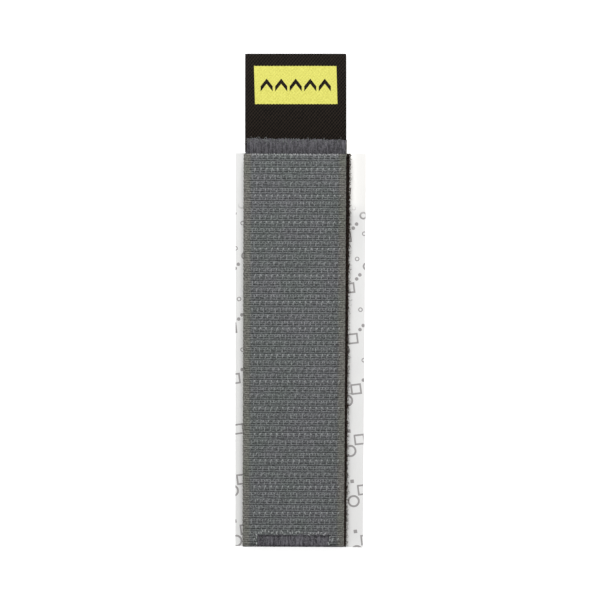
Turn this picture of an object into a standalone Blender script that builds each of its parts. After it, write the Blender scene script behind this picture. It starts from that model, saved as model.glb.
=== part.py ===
"""Hook and loop cable tie with an adhesive base, lying closed and flat.

A grey woven hook tape lies face down on a black woven loop tape. The loop tape carries an adhesive film
and a wider release liner. The hook tape's lower end is welded down to the loop tape. Its upper end is
flattened into a weld strip over both ends of a folded ribbon, which is the pull tab.

Frame: metres, +Z up, +Y towards the pull tab's fold. The origin is at the middle of the footprint, on
the surface that the liner lies on. Needs Blender 4.5; run with blender --background --python part.py.
"""

import math
import random

import bmesh
import bpy
from mathutils import Matrix

MM = 0.001

# Lengths along Y
CUT_LENGTH = 98.0 * MM  # liner, film and both tapes are sheared to this length
LINER_SLANT = 0.5 * MM  # the liner's lower right corner runs this far past the shear
WELD_STRIP_LENGTH = 4.0 * MM  # flattened upper end of the hook tape
TAB_LENGTH = 20.9 * MM  # ribbon that stands free past the weld strip
TAB_SETBACK = 0.5 * MM  # from the loop tape's end to the ribbon's cut ends
WELD_PAD_LENGTH = 3.8 * MM  # weld at the hook tape's lower end

# Widths along X
TAPE_WIDTH = 25.4 * MM  # one-inch goods, both tapes
SELVEDGE_WIDTH = 2.1 * MM  # plain woven edge of the hook tape
LINER_MARGIN_LEFT = 2.8 * MM  # liner past the loop tape, at half length
LINER_MARGIN_RIGHT = 4.0 * MM
STRAP_OFFSET = 0.95 * MM  # hook tape sits this far left of the loop tape, at half length
WELD_PAD_WIDTH = 18.0 * MM
WELD_DRAW_IN = 0.15 * MM  # the weld strip is narrower by this on each side
TAB_WIDTH = 25.1 * MM

# Angles in plan: each piece leans a little clockwise, as it was fed and cut
STRAP_LEAN = math.radians(0.26)
BASE_LEAN = math.radians(0.45)
LINER_LEAN = math.radians(0.13)  # the liner's left edge
LINER_TAPER = math.radians(0.24)  # its right edge against its left edge

# Thicknesses along Z
CLEARANCE = 0.3 * MM  # from each piece to the piece that carries it
LINER_THICKNESS = 0.15 * MM
ADHESIVE_THICKNESS = 0.25 * MM
BASE_GROUND = 0.6 * MM  # loop tape without its pile
HOOK_HEIGHT = 1.3 * MM
STRAP_GROUND = 0.55 * MM  # hook tape at the valleys of its weave, without its hooks
WELD_LIFT = 0.05 * MM  # underside of the weld strip above that of the tape
WELD_STRIP_THICKNESS = 0.33 * MM
WELD_STRIP_FALL = 0.12 * MM  # the strip thins by this towards the step
WELD_PAD_DEPTH = 0.3 * MM  # the welded patch is this far below the valleys of the weave
RIBBON_THICKNESS = 0.25 * MM
LEAF_GAP = 0.15 * MM  # between the two leaves of the folded ribbon
TAB_DROOP = 1.7 * MM  # the fold hangs this far below the ribbon's level at the weld
PANEL_THICKNESS = 0.12 * MM

# Weave and pile
WEFT_PITCH = 0.55 * MM  # one pick of the weft
WEFT_RELIEF = 0.17 * MM  # crests of the weave above its valleys
KNOT_RELIEF = 0.06 * MM  # a hook yarn over a crest
PICK_HEIGHTS = (1.0, 0.62, 0.0)  # picks run in groups of three: high, middle, low
HOOK_WIDTH = 0.35 * MM  # one row of hooks
PILE_WIDTH = 0.45 * MM  # the pile left between two rows of hooks
HOOK_SETBACK = 0.4 * MM  # from a cut end to the first hook
WELD_GROOVE_PITCH = 0.75 * MM
WELD_GROOVE_DEPTH = 0.07 * MM
WELD_RAGGEDNESS = 0.3 * MM  # the patch's upper edge wanders by this

# Panel on the ribbon, with a row of plain chevrons left open
PANEL_WIDTH = 20.7 * MM
PANEL_LENGTH = 9.4 * MM
PANEL_MARGIN = 3.1 * MM  # from the fold to the panel
CHEVRON_COUNT = 5
CHEVRON_GAP = 0.6 * MM
CHEVRON_SPAN = 3.0 * MM
CHEVRON_RISE = 1.9 * MM
CHEVRON_STROKE = 1.3 * MM

# Places along Y, from the whole length
TOTAL_LENGTH = LINER_SLANT + CUT_LENGTH + WELD_STRIP_LENGTH + TAB_LENGTH
LOWER_END_Y = LINER_SLANT - TOTAL_LENGTH / 2.0
STEP_Y = LOWER_END_Y + CUT_LENGTH
STRIP_END_Y = STEP_Y + WELD_STRIP_LENGTH
FOLD_Y = STRIP_END_Y + TAB_LENGTH
TAPE_MIDDLE_Y = (LOWER_END_Y + STEP_Y) / 2.0

# Levels along Z, from the surface up
ADHESIVE_BOTTOM = LINER_THICKNESS + CLEARANCE
BASE_BOTTOM = ADHESIVE_BOTTOM + ADHESIVE_THICKNESS + CLEARANCE
GROUND_TOP = BASE_BOTTOM + BASE_GROUND
HOOK_TIP = GROUND_TOP + CLEARANCE
STRAP_BOTTOM = HOOK_TIP + HOOK_HEIGHT
PILE_TOP = STRAP_BOTTOM - CLEARANCE
VALLEY = STRAP_BOTTOM + STRAP_GROUND
ROOT = STRAP_BOTTOM + STRAP_GROUND / 4.0  # where hooks are rooted in the ground, under the welds too
RIBBON_TOP = STRAP_BOTTOM - CLEARANCE

# Places along X: the liner reaches furthest at its lower left and upper right corners
LINER_WIDTH = LINER_MARGIN_LEFT + TAPE_WIDTH + LINER_MARGIN_RIGHT
LEFT_REACH = math.tan(LINER_LEAN) * CUT_LENGTH / 2.0
RIGHT_REACH = math.tan(LINER_LEAN + LINER_TAPER) * CUT_LENGTH / 2.0
LINER_LEFT_X = -(LINER_WIDTH + RIGHT_REACH - LEFT_REACH) / 2.0
BASE_X = LINER_LEFT_X + LINER_MARGIN_LEFT + TAPE_WIDTH / 2.0
STRAP_X = BASE_X - STRAP_OFFSET
TAB_X = STRAP_X + math.tan(STRAP_LEAN) * (STRIP_END_Y - TAPE_MIDDLE_Y)

HOOK_PITCH = HOOK_WIDTH + PILE_WIDTH + 2.0 * CLEARANCE
OVERSHOOT = 1.0 * MM  # how far a cutter runs past what it cuts

# How finely curves are cut, and what sets the welds' uneven marks
LEAF_STEPS = 14
FOLD_STEPS = 8
PANEL_STEPS = 6
WELD_SEED = 7


def new_collection(name):
    collection = bpy.data.collections.new(name)
    bpy.context.scene.collection.children.link(collection)
    return collection


def linear(hex_colour):
    """An sRGB hex colour as the linear values that a shader takes."""
    channels = [int(hex_colour[i : i + 2], 16) / 255.0 for i in (1, 3, 5)]
    curve = [c / 12.92 if c <= 0.04045 else ((c + 0.055) / 1.055) ** 2.4 for c in channels]
    return (*curve, 1.0)


def principled(name, hex_colour, roughness):
    material = bpy.data.materials.new(name)
    material.use_nodes = True
    shader = material.node_tree.nodes["Principled BSDF"]
    shader.inputs["Base Color"].default_value = linear(hex_colour)
    shader.inputs["Roughness"].default_value = roughness
    shader.inputs["Metallic"].default_value = 0.0
    return material


def add_block(bm, xs, ys, zs):
    """A box between two values on each axis, from a unit cube."""
    size = Matrix.Diagonal((xs[1] - xs[0], ys[1] - ys[0], zs[1] - zs[0], 1.0))
    centre = Matrix.Translation((sum(xs) / 2.0, sum(ys) / 2.0, sum(zs) / 2.0))
    bmesh.ops.create_cube(bm, size=1.0, matrix=centre @ size)


def add_relief(bm, xs, ys, height, flat_z):
    """A closed block over a grid: one face follows height(column, row), the other is flat."""
    columns = len(xs) - 1
    rows = len(ys) - 1
    grid = bmesh.ops.create_grid(bm, x_segments=columns, y_segments=rows, size=0.5)
    for vert in grid["verts"]:
        column = round((vert.co.x + 0.5) * columns)
        row = round((vert.co.y + 0.5) * rows)
        vert.co = (xs[column], ys[row], height(column, row))
    rim = [edge for edge in bm.edges if edge.is_boundary]
    skirt = bmesh.ops.extrude_edge_only(bm, edges=rim)["geom"]
    for vert in (item for item in skirt if isinstance(item, bmesh.types.BMVert)):
        vert.co.z = flat_z
    lower_rim = [e for e in skirt if isinstance(e, bmesh.types.BMEdge) and e.is_boundary]
    bmesh.ops.contextual_create(bm, geom=lower_rim)
    bmesh.ops.recalc_face_normals(bm, faces=bm.faces)
    bmesh.ops.triangulate(bm, faces=bm.faces)  # a Boolean needs flat faces


def add_object(name, bm, collection, material=None):
    mesh = bpy.data.meshes.new(name)
    bm.to_mesh(mesh)
    bm.free()
    obj = bpy.data.objects.new(name, mesh)
    collection.objects.link(obj)
    if material:
        mesh.materials.append(material)
    return obj


def add_helper(name, bm, collection):
    """A guide for a Boolean: seen as wire, left out of renders."""
    obj = add_object(name, bm, collection)
    obj.hide_render = True
    obj.display_type = "WIRE"
    return obj


def combine(obj, helper, operation):
    modifier = obj.modifiers.new(helper.name, "BOOLEAN")
    modifier.operation = operation
    modifier.solver = "EXACT"
    modifier.object = helper


def lay(obj, x, lean):
    """Sets a tape's own frame: middle of its cut length, leaning clockwise."""
    obj.location = (x, TAPE_MIDDLE_Y, 0.0)
    obj.rotation_euler = (0.0, 0.0, -lean)


def evenly(start, end, count):
    return [start + (end - start) * i / count for i in range(count + 1)]


def hook_rows():
    """X of each row of hooks across the field between the selvedges, in the tape's frame."""
    count = int((TAPE_WIDTH - 2.0 * SELVEDGE_WIDTH) / HOOK_PITCH)
    return [(i - (count - 1) / 2.0) * HOOK_PITCH for i in range(count)]


def welded_half_width():
    """Half the width of the rows of hooks that the weld pad melts together."""
    edges = [x + HOOK_WIDTH / 2.0 for x in hook_rows()]
    return max(edge for edge in edges if edge <= WELD_PAD_WIDTH / 2.0)


def release_liner(collection):
    """A slit sheet: its right edge runs out towards the top, and its lower edge is cut aslant."""
    bm = bmesh.new()
    half = CUT_LENGTH / 2.0
    add_block(bm, (0.0, LINER_WIDTH), (-half, half), (0.0, LINER_THICKNESS))
    for vert in (v for v in bm.verts if v.co.x > LINER_WIDTH / 2.0):
        vert.co.x += math.tan(LINER_TAPER) * vert.co.y
        vert.co.y -= LINER_SLANT if vert.co.y < 0.0 else 0.0
    liner = add_object("release_liner", bm, collection, principled("coated film", "#E3E3E1", 0.35))
    lay(liner, LINER_LEFT_X, LINER_LEAN)


def adhesive_film(collection):
    """The pressure-sensitive film, slit together with the loop tape that it backs."""
    bm = bmesh.new()
    half = CUT_LENGTH / 2.0
    level = (ADHESIVE_BOTTOM, ADHESIVE_BOTTOM + ADHESIVE_THICKNESS)
    add_block(bm, (-TAPE_WIDTH / 2.0, TAPE_WIDTH / 2.0), (-half, half), level)
    film = add_object("adhesive_film", bm, collection, principled("acrylic adhesive", "#B9B49C", 0.3))
    lay(film, BASE_X, BASE_LEAN)


def loop_base_tape(collection, helpers):
    """Ground and pile as one block. The hooks stand in furrows, which follow the upper tape's lean."""
    half = CUT_LENGTH / 2.0
    bm = bmesh.new()
    add_block(bm, (-TAPE_WIDTH / 2.0, TAPE_WIDTH / 2.0), (-half, half), (BASE_BOTTOM, PILE_TOP))
    base = add_object("loop_base_tape", bm, collection, principled("black nylon loop", "#211D1A", 0.9))
    lay(base, BASE_X, BASE_LEAN)

    through = (-half - OVERSHOOT, half + OVERSHOOT)
    depth = (GROUND_TOP, PILE_TOP + OVERSHOOT)
    bm = bmesh.new()
    for x in hook_rows():
        reach = HOOK_WIDTH / 2.0 + CLEARANCE
        add_block(bm, (x - reach, x + reach), through, depth)
    furrows = add_helper("hook_furrows", bm, helpers)
    lay(furrows, STRAP_X, STRAP_LEAN)
    combine(base, furrows, "DIFFERENCE")

    bm = bmesh.new()
    reach = welded_half_width() + CLEARANCE
    crushed = (-half - OVERSHOOT, -half + WELD_PAD_LENGTH + CLEARANCE)
    add_block(bm, (-reach, reach), crushed, depth)
    crush = add_helper("crushed_pile", bm, helpers)
    lay(crush, STRAP_X, STRAP_LEAN)
    combine(base, crush, "DIFFERENCE")


def weave_height(column, row, last_column):
    """Picks lie in groups of three, and the hook yarns bind them on alternate columns."""
    pick = row % len(PICK_HEIGHTS)
    height = VALLEY + WEFT_RELIEF * PICK_HEIGHTS[pick]
    in_selvedge = column < 2 or column > last_column - 2
    if in_selvedge:
        return VALLEY + WEFT_RELIEF * PICK_HEIGHTS[1] * (row % 2)
    group = row // len(PICK_HEIGHTS)
    binds = (column + group) % 2 == 0
    return height + (KNOT_RELIEF if binds and pick < 2 else 0.0)


def woven_block():
    """The hook tape's ground, with the top of the weave on it."""
    half = CUT_LENGTH / 2.0
    field = TAPE_WIDTH / 2.0 - SELVEDGE_WIDTH
    xs = [-TAPE_WIDTH / 2.0, -field, *hook_rows(), field, TAPE_WIDTH / 2.0]
    ys = evenly(-half, half, round(CUT_LENGTH / WEFT_PITCH))
    last_column = len(xs) - 1
    bm = bmesh.new()
    add_relief(bm, xs, ys, lambda c, r: weave_height(c, r, last_column), STRAP_BOTTOM)
    return bm


def hook_strap(collection, helpers):
    half = CUT_LENGTH / 2.0
    rng = random.Random(WELD_SEED)
    strap = add_object(
        "hook_strap", woven_block(), collection, principled("grey nylon hook tape", "#616363", 0.85)
    )
    lay(strap, STRAP_X, STRAP_LEAN)

    bm = bmesh.new()
    for x in hook_rows():
        sides = (x - HOOK_WIDTH / 2.0, x + HOOK_WIDTH / 2.0)
        add_block(bm, sides, (-half + HOOK_SETBACK, half - HOOK_SETBACK), (HOOK_TIP, ROOT))
    hooks = add_helper("hook_rows", bm, helpers)
    lay(hooks, STRAP_X, STRAP_LEAN)
    combine(strap, hooks, "UNION")

    bm = bmesh.new()
    reach = welded_half_width()
    pad = (-half + HOOK_SETBACK / 2.0, -half + WELD_PAD_LENGTH)
    add_block(bm, (-reach, reach), pad, (HOOK_TIP, ROOT))
    melted = add_helper("melted_hooks", bm, helpers)
    lay(melted, STRAP_X, STRAP_LEAN)
    combine(strap, melted, "UNION")

    # The patch that the horn left on top, open at the tape's cut end
    columns = round(WELD_PAD_WIDTH / WELD_GROOVE_PITCH)
    xs = evenly(-WELD_PAD_WIDTH / 2.0, WELD_PAD_WIDTH / 2.0, columns)
    grooves = [rng.uniform(0.0, WELD_GROOVE_DEPTH) for _ in xs]
    ends = [rng.uniform(-WELD_RAGGEDNESS, 0.0) for _ in xs]
    floor = VALLEY - WELD_PAD_DEPTH
    ys = [-half - OVERSHOOT, -half + WELD_PAD_LENGTH / 2.0, -half + WELD_PAD_LENGTH]
    bm = bmesh.new()
    add_relief(bm, xs, ys, lambda c, r: floor + grooves[c], VALLEY + OVERSHOOT)
    upper_edge = [vert for vert in bm.verts if vert.co.y > (ys[1] + ys[2]) / 2.0]
    for vert in upper_edge:
        vert.co.y += ends[round((vert.co.x - xs[0]) / (xs[1] - xs[0]))]
    patch = add_helper("weld_patch", bm, helpers)
    lay(patch, STRAP_X, STRAP_LEAN)
    combine(strap, patch, "DIFFERENCE")

    # The weld strip: thin, grooved along the strap, and rooted under the first picks of the weave
    reach = TAPE_WIDTH / 2.0 - WELD_DRAW_IN
    xs = evenly(-reach, reach, round(2.0 * reach / WELD_GROOVE_PITCH))
    ys = [half - HOOK_SETBACK, half, half + WELD_STRIP_LENGTH / 2.0, half + WELD_STRIP_LENGTH]
    ridges = [rng.uniform(-WELD_GROOVE_DEPTH, 0.0) for _ in xs]
    levels = [-WELD_STRIP_FALL, -WELD_STRIP_FALL, -WELD_STRIP_FALL / 2.0, 0.0]
    underside = STRAP_BOTTOM + WELD_LIFT
    top = underside + WELD_STRIP_THICKNESS
    bm = bmesh.new()
    add_relief(bm, xs, ys, lambda c, r: top + levels[r] + ridges[c], underside)
    strip = add_helper("weld_strip", bm, helpers)
    lay(strip, STRAP_X, STRAP_LEAN)
    combine(strap, strip, "UNION")


def droop(y):
    """How far the ribbon hangs below its level at the weld, as a strip held at one end."""
    share = max(0.0, (y - STRIP_END_Y) / TAB_LENGTH)
    return TAB_DROOP * share * share * (3.0 - share) / 2.0


def ribbon_path():
    """Side view of the folded ribbon's middle: upper leaf, fold, lower leaf."""
    radius = (RIBBON_THICKNESS + LEAF_GAP) / 2.0
    centre_z = RIBBON_TOP - RIBBON_THICKNESS / 2.0 - radius
    turn_y = FOLD_Y - radius - RIBBON_THICKNESS / 2.0
    run = evenly(STEP_Y + TAB_SETBACK, turn_y, LEAF_STEPS)
    upper = [(y, centre_z + radius - droop(y)) for y in run]
    turn = [
        (turn_y + radius * math.cos(a), centre_z + radius * math.sin(a) - droop(turn_y))
        for a in evenly(math.pi / 2.0, -math.pi / 2.0, FOLD_STEPS)[1:-1]
    ]
    lower = [(y, centre_z - radius - droop(y)) for y in reversed(run)]
    return upper + turn + lower


def add_sheet(bm, path, width):
    """An open surface: a side-view path swept across the width."""
    verts = [bm.verts.new((-width / 2.0, y, z)) for y, z in path]
    edges = [bm.edges.new(pair) for pair in zip(verts, verts[1:])]
    swept = bmesh.ops.extrude_edge_only(bm, edges=edges)["geom"]
    for vert in (item for item in swept if isinstance(item, bmesh.types.BMVert)):
        vert.co.x = width / 2.0
    bmesh.ops.recalc_face_normals(bm, faces=bm.faces)


def thicken(obj, thickness):
    modifier = obj.modifiers.new("thickness", "SOLIDIFY")
    modifier.thickness = thickness
    modifier.offset = 0.0
    modifier.use_even_offset = True


def pull_tab_ribbon(collection):
    bm = bmesh.new()
    add_sheet(bm, ribbon_path(), TAB_WIDTH)
    ribbon = add_object("pull_tab_ribbon", bm, collection, principled("black satin ribbon", "#25201C", 0.6))
    ribbon.location.x = TAB_X
    thicken(ribbon, RIBBON_THICKNESS)


def tab_panel(collection, helpers):
    """The field of colour on the ribbon's upper leaf, with chevrons left open in it."""
    upper_y = FOLD_Y - PANEL_MARGIN
    level = RIBBON_TOP + CLEARANCE + PANEL_THICKNESS / 2.0
    run = evenly(upper_y - PANEL_LENGTH, upper_y, PANEL_STEPS)
    bm = bmesh.new()
    add_sheet(bm, [(y, level - droop(y)) for y in run], PANEL_WIDTH)
    panel = add_object("tab_panel", bm, collection, principled("yellow print", "#E5E26D", 0.6))
    panel.location.x = TAB_X
    thicken(panel, PANEL_THICKNESS)

    # Each chevron points at the fold, the way the tab is pulled
    foot_y = upper_y - (PANEL_LENGTH + CHEVRON_RISE + CHEVRON_STROKE) / 2.0
    bm = bmesh.new()
    for i in range(CHEVRON_COUNT):
        x = (i - (CHEVRON_COUNT - 1) / 2.0) * (CHEVRON_SPAN + CHEVRON_GAP)
        sides = (x - CHEVRON_SPAN / 2.0, x + CHEVRON_SPAN / 2.0)
        add_block(bm, sides, (foot_y, foot_y + CHEVRON_STROKE), (0.0, level + OVERSHOOT))
        whole = [*bm.verts, *bm.edges, *bm.faces]
        cut = bmesh.ops.bisect_plane(bm, geom=whole, plane_co=(x, 0.0, 0.0), plane_no=(1.0, 0.0, 0.0))
        for vert in (item for item in cut["geom_cut"] if isinstance(item, bmesh.types.BMVert)):
            vert.co.y += CHEVRON_RISE
    chevrons = add_helper("chevrons", bm, helpers)
    chevrons.location.x = TAB_X
    combine(panel, chevrons, "DIFFERENCE")


def build():
    for obj in list(bpy.data.objects):
        bpy.data.objects.remove(obj, do_unlink=True)
    tie = new_collection("hook_and_loop_cable_tie")
    helpers = new_collection("cutters")
    release_liner(tie)
    adhesive_film(tie)
    loop_base_tape(tie, helpers)
    hook_strap(tie, helpers)
    pull_tab_ribbon(tie)
    tab_panel(tie, helpers)


build()
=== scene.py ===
# %% [markdown]
# # A hook and loop cable tie, thread by thread
#
# The tie is a stack of thin textiles. From the table up it has a printed release liner, an adhesive
# film, a black loop tape and a grey hook tape that lies closed on it, face down. A folded black ribbon is
# welded into the hook tape's upper end, as a pull tab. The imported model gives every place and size; this
# file gives each piece the threads, melt marks and print that the eye looks for.

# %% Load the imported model
import math

import bpy
import numpy as np
from mathutils import Matrix, Vector


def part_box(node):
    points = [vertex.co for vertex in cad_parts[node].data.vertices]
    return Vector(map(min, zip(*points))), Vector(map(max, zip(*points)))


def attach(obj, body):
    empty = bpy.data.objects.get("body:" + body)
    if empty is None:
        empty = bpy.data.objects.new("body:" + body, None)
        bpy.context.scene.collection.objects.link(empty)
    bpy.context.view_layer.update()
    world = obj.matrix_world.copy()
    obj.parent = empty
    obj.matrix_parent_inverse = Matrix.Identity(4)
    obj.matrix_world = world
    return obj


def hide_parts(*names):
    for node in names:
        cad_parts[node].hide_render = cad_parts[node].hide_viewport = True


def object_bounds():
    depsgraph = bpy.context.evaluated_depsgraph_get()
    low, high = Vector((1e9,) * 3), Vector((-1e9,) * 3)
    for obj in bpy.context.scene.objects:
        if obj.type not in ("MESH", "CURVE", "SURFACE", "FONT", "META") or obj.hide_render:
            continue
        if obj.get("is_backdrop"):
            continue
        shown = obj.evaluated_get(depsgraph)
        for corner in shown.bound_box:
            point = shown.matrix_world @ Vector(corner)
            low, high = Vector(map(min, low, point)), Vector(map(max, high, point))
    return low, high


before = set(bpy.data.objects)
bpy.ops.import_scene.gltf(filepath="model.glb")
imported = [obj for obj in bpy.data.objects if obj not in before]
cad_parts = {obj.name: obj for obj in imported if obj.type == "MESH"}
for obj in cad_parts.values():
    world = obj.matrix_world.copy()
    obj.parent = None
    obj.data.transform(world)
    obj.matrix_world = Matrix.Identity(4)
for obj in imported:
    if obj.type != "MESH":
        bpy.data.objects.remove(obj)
cad_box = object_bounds()
print("nodes:", sorted(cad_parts))
print("box in mm:", [[round(c * 1000.0, 1) for c in corner] for corner in cad_box])

# %% [markdown]
# ## Sizes
#
# Threads are counted in millimetres, so lengths are written in millimetres and turned to metres once. The
# tapes lean a little clockwise, as they were fed and cut. A leaning tape is easier to weave if it is drawn
# straight, in its own frame, and turned afterwards. The middle of each tape is the origin of that frame.

# %% Units, levels and tape frames
MM = 0.001
rng = np.random.default_rng(20)

strap_low, strap_high = (Vector(c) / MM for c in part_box("hook_strap"))
base_low, base_high = (Vector(c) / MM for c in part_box("loop_base_tape"))
liner_low = Vector(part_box("release_liner")[0]) / MM
ribbon_low, ribbon_high = (Vector(c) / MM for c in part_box("pull_tab_ribbon"))
panel_low, panel_high = (Vector(c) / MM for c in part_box("tab_panel"))

TAPE_WIDTH = 25.4  # one-inch goods
CUT_LENGTH = 98.0
HALF = CUT_LENGTH / 2.0
STRIP_LENGTH = 4.0
PAD_LENGTH = 2.9  # what shows of the lower weld below its torn edge
PAD_WIDTH = 17.8
STRAP_LEAN = math.radians(0.26)
BASE_LEAN = math.radians(0.45)
STRAP_SHIFT = -0.17  # from the middle of the hook tape's box to the middle of its weave

tape_middle_y = (base_low.y + base_high.y) / 2.0
strap_x = (strap_low.x + strap_high.x) / 2.0 + STRAP_SHIFT
base_x = (base_low.x + base_high.x) / 2.0
strip_end_y = tape_middle_y + HALF + STRIP_LENGTH

GROUND_TOP = strap_low.z - 0.3  # the loop tape's cloth, under its pile
STRAP_UNDER = base_high.z + 0.3  # the hook tape's cloth, over the pile
CREST = strap_high.z  # the highest threads


def tape_frame(x, lean):
    """The matrix of a tape's own frame: its middle, turned clockwise by its lean."""
    place = Matrix.Translation((x * MM, tape_middle_y * MM, 0.0))
    return place @ Matrix.Rotation(-lean, 4, "Z")


strap_frame = tape_frame(strap_x, STRAP_LEAN)
base_frame = tape_frame(base_x, BASE_LEAN)
print(f"hook tape at x {strap_x:.2f} mm, loop tape at x {base_x:.2f} mm, crest {CREST:.2f} mm")

# %% [markdown]
# ## Two ways to make cloth
#
# Cloth can be a picture on a plane, a height map, or threads. A picture has no edge to catch the light, and
# a height map can't go over and under. So what shows as thread is swept as a tube along its own path, and
# what shows as film or melt is a closed sheet between an upper and a lower surface. Both are plain grids
# of points, which numpy makes quickly, and both end as closed meshes.

# %% Mesh helpers
ACROSS, UP = (1, 0, 0), (0, 0, 1)  # directions in a tape's own frame
SLOTS = {
    "hook_strap": "grey_hook_weave",
    "loop_base_tape": "black_loop",
    "adhesive_film": "adhesive",
    "release_liner": "liner_film",
    "pull_tab_ribbon": "black_ribbon",
    "tab_panel": "yellow_print",
}
dressed = {node: [] for node in SLOTS}  # the pieces that stand for each node


def xyz(x, y, z):
    """Points from their x, y and z, each an array or one number."""
    return np.stack(np.broadcast_arrays(x, y, z), -1)


def grid(xs, ys):
    """Columns of x and rows of y as two arrays, rows first."""
    return np.meshgrid(np.asarray(xs, float), np.asarray(ys, float))


def new_piece(name, points, faces, matrix=None, smooth=True):
    """An object from points in millimetres; matrix is the frame that they are in."""
    mesh = bpy.data.meshes.new(name)
    mesh.from_pydata((points * MM).tolist(), [], faces)
    mesh.polygons.foreach_set("use_smooth", [smooth] * len(mesh.polygons))
    mesh.update()
    piece = bpy.data.objects.new(name, mesh)
    bpy.context.scene.collection.objects.link(piece)
    if matrix is not None:
        piece.matrix_world = matrix
    return piece


def closed_sheet(name, upper, lower, matrix=None):
    """A sheet between two grids of points, each rows by columns by 3, closed round its rim."""
    rows, columns = upper.shape[:2]
    index = np.arange(rows * columns).reshape(rows, columns)
    quad = np.stack([index[:-1, :-1], index[:-1, 1:], index[1:, 1:], index[1:, :-1]], -1).reshape(-1, 4)
    rim = np.concatenate([index[0, :-1], index[:-1, -1], index[-1, :0:-1], index[:0:-1, 0]])
    after = np.roll(rim, -1)
    below = rows * columns
    wall = np.stack([after, rim, rim + below, after + below], -1)
    faces = np.concatenate([quad, quad[:, ::-1] + below, wall])
    points = np.concatenate([upper.reshape(-1, 3), lower.reshape(-1, 3)])
    piece = new_piece(name, points, faces.tolist(), matrix)
    piece.data.set_sharp_from_angle(angle=math.radians(60.0))
    return piece


def tubes(name, paths, across, along_ref, ref, section, matrix=None):
    """Threads swept along paths, an array of threads by points by 3. ref is one direction for each thread
    that its path never follows; section is a list of angles round the thread, where 90 degrees is ref."""
    count, steps = paths.shape[:2]
    tangent = np.gradient(paths, axis=1)
    tangent /= np.linalg.norm(tangent, axis=2, keepdims=True)
    ref = np.broadcast_to(np.asarray(ref, float).reshape(-1, 1, 3), paths.shape)
    side = np.cross(tangent, ref)
    side /= np.linalg.norm(side, axis=2, keepdims=True)
    upright = np.cross(side, tangent)
    angles = np.radians(section)
    ring = (
        paths[:, :, None]
        + across * np.cos(angles)[:, None] * side[:, :, None]
        + along_ref * np.sin(angles)[:, None] * upright[:, :, None]
    )
    sides = len(section)
    index = np.arange(count * steps * sides).reshape(count, steps, sides)
    turned = np.roll(index, -1, axis=2)
    quad = np.stack([index[:, :-1], index[:, 1:], turned[:, 1:], turned[:, :-1]], -1).reshape(-1, 4)
    caps = [*index[:, 0].tolist(), *index[:, -1, ::-1].tolist()]
    return new_piece(name, ring.reshape(-1, 3), quad.tolist() + caps, matrix)


def finish_piece(piece, material, node):
    """Gives a piece its material and the CAD node that it stands for."""
    piece.data.materials.append(material)
    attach(piece, "root")
    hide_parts(node)
    dressed[node].append(piece)
    print(f"{piece.name}: {len(piece.data.polygons)} faces")


# %% [markdown]
# ## Colour and nodes
#
# A colour read off a photograph is sRGB, and a shader wants linear light, so one function turns it. Shader
# trees are built with one helper that adds a node, sets it and links it; a tree then reads from the
# pattern to the shader, line by line. Uneven dye, fuzz and melt are all noise, and what tells them apart is
# the size of their lumps, so that size is given in millimetres.


# %% Colour and node helpers
def linear(hex_colour):
    channels = [int(hex_colour[i : i + 2], 16) / 255.0 for i in (1, 3, 5)]
    return (*(c / 12.92 if c <= 0.04045 else ((c + 0.055) / 1.055) ** 2.4 for c in channels), 1.0)


def set_inputs(tree, node, inputs):
    """Gives each input a value or a link to an output. A node stands for its first output."""
    for name, value in inputs.items():
        if isinstance(value, bpy.types.Node):
            value = value.outputs[0]
        if isinstance(value, bpy.types.NodeSocket):
            tree.links.new(value, node.inputs[name])
        else:
            node.inputs[name].default_value = value


def add(tree, kind, inputs=None, **settings):
    """A shader node of this kind with its settings and inputs."""
    node = tree.nodes.new("ShaderNode" + kind)
    for name, value in settings.items():
        setattr(node, name, value)
    set_inputs(tree, node, inputs or {})
    return node


def new_material(name):
    material = bpy.data.materials.new(name)
    material.use_nodes = True
    return material, material.node_tree, material.node_tree.nodes["Principled BSDF"]


def set_stops(ramp, *stops):
    """Gives a colour ramp its stops, each a position and a colour."""
    for element, (position, hex_colour) in zip(ramp.color_ramp.elements, stops):
        element.position, element.color = position, linear(hex_colour)


def lumps(tree, coords, size, detail):
    """A noise whose lumps have this size in millimetres on each axis."""
    scale = tuple(1.0 / (length * MM) for length in size)
    mapped = add(tree, "Mapping", {"Vector": coords, "Scale": scale})
    return add(tree, "TexNoise", {"Vector": mapped, "Scale": 1.0, "Detail": detail})


# %% [markdown]
# ## Camera
#
# The photograph looks straight down on the tie from over half a metre, with a long lens. The weave is a
# ruler: its picks are 2% closer at the bottom of the picture than at the top, so the camera leaned a few
# degrees towards the pull tab. One-inch tape across 102 pixels sets the scale.

# %% Camera
DISTANCE = 0.6
LEAN_TO_TAB = math.radians(3.7)
MM_PER_PIXEL = 0.2483
PICTURE_PIXELS = 598
SENSOR_MM = 36.0
target = Vector((-0.6, 0.92, CREST)) * MM

back = Vector((0.0, math.sin(LEAN_TO_TAB), math.cos(LEAN_TO_TAB)))
up = Vector((0.0, math.cos(LEAN_TO_TAB), -math.sin(LEAN_TO_TAB)))
camera_data = bpy.data.cameras.new("camera")
camera_data.sensor_width = SENSOR_MM
camera_data.lens = DISTANCE / (MM_PER_PIXEL * MM) * SENSOR_MM / PICTURE_PIXELS
camera = bpy.data.objects.new("camera", camera_data)
camera.matrix_world = Matrix.Translation(target + back * DISTANCE) @ Matrix(
    ((1.0, up.x, back.x), (0.0, up.y, back.y), (0.0, up.z, back.z))
).to_4x4()
bpy.context.scene.collection.objects.link(camera)
bpy.context.scene.camera = camera
print(f"lens {camera_data.lens:.1f} mm")
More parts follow.
